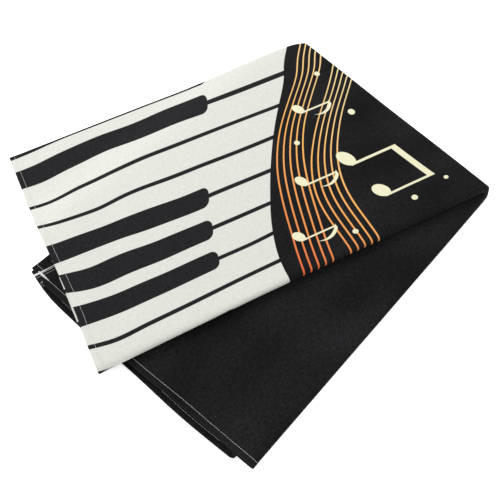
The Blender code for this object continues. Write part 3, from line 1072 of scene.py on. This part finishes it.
@dataclass
class FoldedCloth:
    """The cover's one sheet, folded from a flat grid."""

    surface: ClothSurface = field(default_factory=ClothSurface)
    pull: ClothPull = field(default_factory=ClothPull)
    finish: FabricFinish = field(default_factory=FabricFinish)
    hem_end: float = 0.0066
    hem_step: float = 0.0012
    rim_share: float = 0.55
    rim_rise: float = 0.45
    rim_reach: float = 0.0012
    seam_reach: float = 0.0008
    smooth_angle: float = math.radians(45.0)
    name: str = "printed_cover"

    def thickness(self, hems: Array) -> Array:
        """Return the cloth's thickness from its distances to the end hem and to the side hem."""
        nearest = hems.min(axis=-1)
        fine = smooth_step((nearest - self.hem_end) / self.hem_step)
        body = FABRIC_THICKNESS + (HEM_THICKNESS - FABRIC_THICKNESS) * (1.0 - fine)
        edge = self.rim_share + self.rim_rise * smooth_step(nearest / self.rim_reach)
        seam = 1.0 - SEAM_DIP * np.exp(-(((nearest - SEAM_INSET) / self.seam_reach) ** 2))
        return body * edge * seam

    def build(self) -> bpy.types.Object:
        """Add a flat grid, fold it, give it its thickness and its materials, and return it."""
        rows = self.surface.row_fractions()
        world, flat, lines = self.surface.grid(rows)
        count = (len(rows), len(lines))
        path = flat[:, :, 1].copy()
        from_side = np.minimum(path[:, :1] - path, path - path[:, -1:])
        from_end = np.minimum(flat[:, :, 0], CLOTH_DEPTH - flat[:, :, 0])
        hems = np.stack((from_end, from_side), axis=-1)
        flat[:, :, 1] -= self.pull.aside(CLOTH_DEPTH - flat[:, :, 0], path)
        length = float(np.mean(path[:, 0] - path[:, -1]))
        log.info("flat cloth %.4f by %.4f m", CLOTH_DEPTH, length)
        bpy.ops.object.select_all(action="DESELECT")
        bpy.ops.mesh.primitive_grid_add(
            x_subdivisions=count[1] - 1, y_subdivisions=count[0] - 1, size=1.0
        )
        sheet = bpy.context.active_object
        sheet.name = self.name
        mesh = sheet.data
        places = places_of(mesh)
        row = np.rint((places[:, 1] + 0.5) * (count[0] - 1)).astype(int)
        line = count[1] - 1 - np.rint((places[:, 0] + 0.5) * (count[1] - 1)).astype(int)
        mesh.vertices.foreach_set("co", world[row, line].ravel())
        corners = np.zeros(len(mesh.loops), dtype=np.int32)
        mesh.loops.foreach_get("vertex_index", corners)
        for layer in list(mesh.uv_layers):
            mesh.uv_layers.remove(layer)
        for name, values in (("cloth", flat), ("hems", hems)):
            layer = mesh.uv_layers.new(name=name)
            layer.uv.foreach_set("vector", values[row, line][corners].astype(np.float32).ravel())
        thickness = self.thickness(hems)[row, line]
        group = sheet.vertex_groups.new(name="thickness")
        shares = np.round(thickness / HEM_THICKNESS, 3)
        for share in np.unique(shares):
            group.add(np.flatnonzero(shares == share).tolist(), float(share), "REPLACE")
        mesh.update()
        self.thicken(sheet)
        mesh = sheet.data
        mesh.materials.append(self.finish.printed_side())
        mesh.materials.append(self.finish.bare_side())
        self.keep_over_floor(sheet)
        bpy.ops.object.shade_smooth_by_angle(angle=self.smooth_angle)
        log.info("%s: %d faces", self.name, len(mesh.polygons))
        return sheet

    def thicken(self, sheet: bpy.types.Object) -> None:
        """Give the sheet its two sides and its rim."""
        solidify = sheet.modifiers.new("thickness", "SOLIDIFY")
        solidify.thickness = HEM_THICKNESS
        solidify.offset = 0.0
        solidify.vertex_group = "thickness"
        solidify.material_offset = 1
        solidify.material_offset_rim = 0
        sheet.data.materials.clear()
        for stand_in in ("front", "back"):
            sheet.data.materials.append(bpy.data.materials.new(stand_in))
        bpy.ops.object.modifier_apply(modifier=solidify.name)
        sheet.data.materials.clear()
        sheet.vertex_groups.clear()

    def keep_over_floor(self, sheet: bpy.types.Object) -> None:
        """Press flat what the thickness pushed under the floor."""
        places = places_of(sheet.data)
        log.info("lowest %.5f highest %.5f", places[:, 2].min(), places[:, 2].max())
        places[:, 2] = np.maximum(places[:, 2], 0.0)
        sheet.data.vertices.foreach_set("co", places.ravel())
        sheet.data.update()


@dataclass
class HemStitches:
    """The single thread row inside every hem, on both sides of the cloth."""

    surface: ClothSurface = field(default_factory=ClothSurface)
    inset: float = SEAM_INSET
    pitch: float = 0.0034
    length: float = 0.00375
    width: float = 0.00032
    rise: float = 0.00016
    clear: float = 0.0001
    ahead: float = 0.0004
    beyond: float = 0.001
    tacked_rows: int = 2
    hem_rows: int = 4
    tack_widths: Values = (7.0, 10.0, 9.5, 7.0, 4.0)
    colour: Colour = (0.50, 0.50, 0.49, 1.0)
    loose_end: tuple[Spot, ...] = (
        (-0.2116, -0.0893, 0.0098),
        (-0.2130, -0.0894, 0.0098),
        (-0.2141, -0.0892, 0.0086),
        (-0.2144, -0.0890, 0.0060),
        (-0.2141, -0.0892, 0.0040),
        (-0.2133, -0.0898, 0.0032),
        (-0.2124, -0.0904, 0.0031),
        (-0.2117, -0.0905, 0.0031),
        (-0.2115, -0.0900, 0.0031),
    )
    loose_pitch: float = 0.0007
    twist: float = 9000.0
    twist_middle: float = 0.93
    twist_share: float = 0.07
    roughness: float = 0.55
    sheen: float = 0.2
    name: str = "hem_thread"

    def rows(self) -> list[tuple[Array, Array]]:
        """Return the stitch rows, each as its places and the places a little further on."""
        found = []
        for stretch in ("lower", "upper"):
            pair = [(stretch, self.inset), (stretch, self.inset + self.beyond)]
            world, _, _ = self.surface.grid(pair)
            order = (0, 1) if stretch == "lower" else (1, 0)
            found.append((world[order[0]], world[order[1]]))
        world, flat, _ = self.surface.grid(self.surface.row_fractions())
        for side in (0, -1):
            depth = np.abs(flat[:, :, 1] - flat[:, side][:, 1:2])
            number = int(np.argmin(np.abs(depth.mean(axis=0) - self.inset)))
            found.append((world[:, number], world[:, number + 1]))
        loose = np.array(self.loose_end)
        found.append((loose, loose + np.array((0.0, 0.0, self.beyond))))
        return found

    def bead(self) -> tuple[Array, list[tuple[int, ...]]]:
        """Model one stitch and return its vertices and faces."""
        bpy.ops.object.select_all(action="DESELECT")
        bpy.ops.mesh.primitive_uv_sphere_add(segments=6, ring_count=5, radius=0.5)
        bead = bpy.context.active_object
        bead.rotation_euler = (0.0, math.radians(90.0), 0.0)
        bpy.ops.object.transform_apply(location=False, rotation=True, scale=False)
        bead.scale = (self.length, self.width, self.width)
        bpy.ops.object.transform_apply(location=False, rotation=False, scale=True)
        vertices = places_of(bead.data)
        faces = [tuple(face.vertices) for face in bead.data.polygons]
        bpy.data.objects.remove(bead)
        return vertices, faces

    def build(self) -> bpy.types.Object:
        """Copy the stitch along all rows, on both sides of the cloth, and return the piece."""
        shape, faces = self.bead()
        vertices = []
        polygons = []
        for line, (places, beyond) in enumerate(self.rows()):
            steps = np.linalg.norm(np.diff(places, axis=0), axis=1)
            path = np.concatenate(((0.0,), np.cumsum(steps)))
            pitch = self.pitch if line < self.hem_rows else self.loose_pitch
            spots = np.arange(pitch / 2, path[-1], pitch)
            at = on_path(spots, path, places)
            run = unit(on_path(spots + self.ahead, path, places) - at)
            normal = unit(np.cross(run, on_path(spots, path, beyond - places)))
            aside = np.cross(normal, run)
            seam = HEM_THICKNESS * (1.0 - SEAM_DIP) / 2
            for direction in (1.0, -1.0):
                lift = direction * (seam + self.rise - self.width / 2 + self.clear)
                for spot in range(len(spots)):
                    from_end = min(spot, len(spots) - 1 - spot)
                    tacked = line < self.tacked_rows and from_end < len(self.tack_widths)
                    width = self.tack_widths[from_end] if tacked else 1.0
                    length = run[spot] * pitch / self.pitch
                    turn = np.stack((length, aside[spot] * width, normal[spot]))
                    start = len(vertices) * len(shape)
                    vertices.append(shape @ turn + at[spot] + normal[spot] * lift)
                    polygons += [tuple(start + index for index in face) for face in faces]
        mesh = bpy.data.meshes.new(self.name)
        places = np.concatenate(vertices)
        places[:, 2] = np.maximum(places[:, 2], 0.0)
        mesh.from_pydata(places.tolist(), [], polygons)
        mesh.update()
        mesh.shade_smooth()
        mesh.materials.append(self.thread())
        piece = bpy.data.objects.new(self.name, mesh)
        bpy.context.scene.collection.objects.link(piece)
        log.info("%s: %d stitches", self.name, len(vertices))
        return piece

    def thread(self) -> bpy.types.Material:
        """Make the thread's material: pale polyester with a fine twist."""
        nodes = Nodes("pale_thread")
        coordinates = nodes.tree.nodes.new("ShaderNodeTexCoord")
        split = nodes.tree.nodes.new("ShaderNodeSeparateXYZ")
        nodes.tree.links.new(coordinates.outputs["Object"], split.inputs[0])
        place = nodes.total(split.outputs[0], split.outputs[1])
        twist = nodes.math("SINE", nodes.times(place, self.twist))
        tone = nodes.total(self.twist_middle, nodes.times(twist, self.twist_share))
        nodes.fix({
            "Base Color": nodes.shaded(self.colour, tone),
            "Roughness": self.roughness,
            "Sheen Weight": self.sheen,
        })
        return nodes.material


@dataclass(frozen=True)
class Softbox:
    """A square studio light: its name, place, turn in degrees, size and power."""

    name: str
    place: Spot
    turn: Spot
    size: float
    power: float


@dataclass
class Studio:
    """The pale floor, the soft light and the camera."""

    camera_place: Spot = (0.0060, -0.4360, 0.5942)
    camera_drop: float = 56.5
    lens: float = 46.5
    floor_colour: Colour = (0.98, 0.98, 0.98, 1.0)
    floor_glow: float = 0.45
    floor_size: float = 8.0
    floor_roughness: float = 0.9
    sky_colour: Colour = (1.0, 1.0, 1.0, 1.0)
    sky_strength: float = 1.02
    sensor_width: float = 36.0
    nearest: float = 0.01
    softboxes: tuple[Softbox, ...] = (
        Softbox("key", (-1.1, 1.0, 1.2), (-43.0, -38.0, 0.0), 1.0, 26.0),
        Softbox("fill", (0.9, -0.8, 1.3), (32.0, 32.0, 0.0), 1.2, 4.0),
    )

    def floor(self) -> None:
        """Lay the plain floor."""
        bpy.ops.object.select_all(action="DESELECT")
        bpy.ops.mesh.primitive_plane_add(size=self.floor_size)
        floor = bpy.context.active_object
        floor.name = "floor"
        nodes = Nodes("pale_floor")
        nodes.fix({
            "Base Color": self.floor_colour,
            "Roughness": self.floor_roughness,
            "Emission Color": self.floor_colour,
            "Emission Strength": self.floor_glow,
        })
        floor.data.materials.append(nodes.material)

    def light(self) -> None:
        """Set the soft studio light."""
        world = bpy.data.worlds.new("studio")
        world.use_nodes = True
        background = world.node_tree.nodes["Background"]
        background.inputs["Color"].default_value = self.sky_colour
        background.inputs["Strength"].default_value = self.sky_strength
        bpy.context.scene.world = world
        for softbox in self.softboxes:
            data = bpy.data.lights.new(softbox.name, "AREA")
            data.size = softbox.size
            data.energy = softbox.power
            light = bpy.data.objects.new(softbox.name, data)
            light.location = softbox.place
            light.rotation_euler = [math.radians(angle) for angle in softbox.turn]
            bpy.context.scene.collection.objects.link(light)
        bpy.context.scene.view_settings.view_transform = "Standard"

    def camera(self) -> None:
        """Set the camera at the photograph's angle."""
        data = bpy.data.cameras.new("camera")
        data.lens = self.lens
        data.sensor_width = self.sensor_width
        data.clip_start = self.nearest
        camera = bpy.data.objects.new("camera", data)
        camera.location = self.camera_place
        camera.rotation_euler = (math.radians(90.0 - self.camera_drop), 0.0, 0.0)
        bpy.context.scene.collection.objects.link(camera)
        bpy.context.scene.camera = camera


def main() -> None:
    """Build the cover and the studio, and tell the frame what each piece is."""
    logging.basicConfig(level=logging.INFO, format="%(message)s")
    sheet = FoldedCloth().build()
    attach(sheet, BODY)
    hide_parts(NODE)
    stitches = HemStitches().build()
    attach(stitches, BODY)
    studio = Studio()
    studio.floor()
    studio.light()
    studio.camera()


if __name__ == "__main__":
    main()
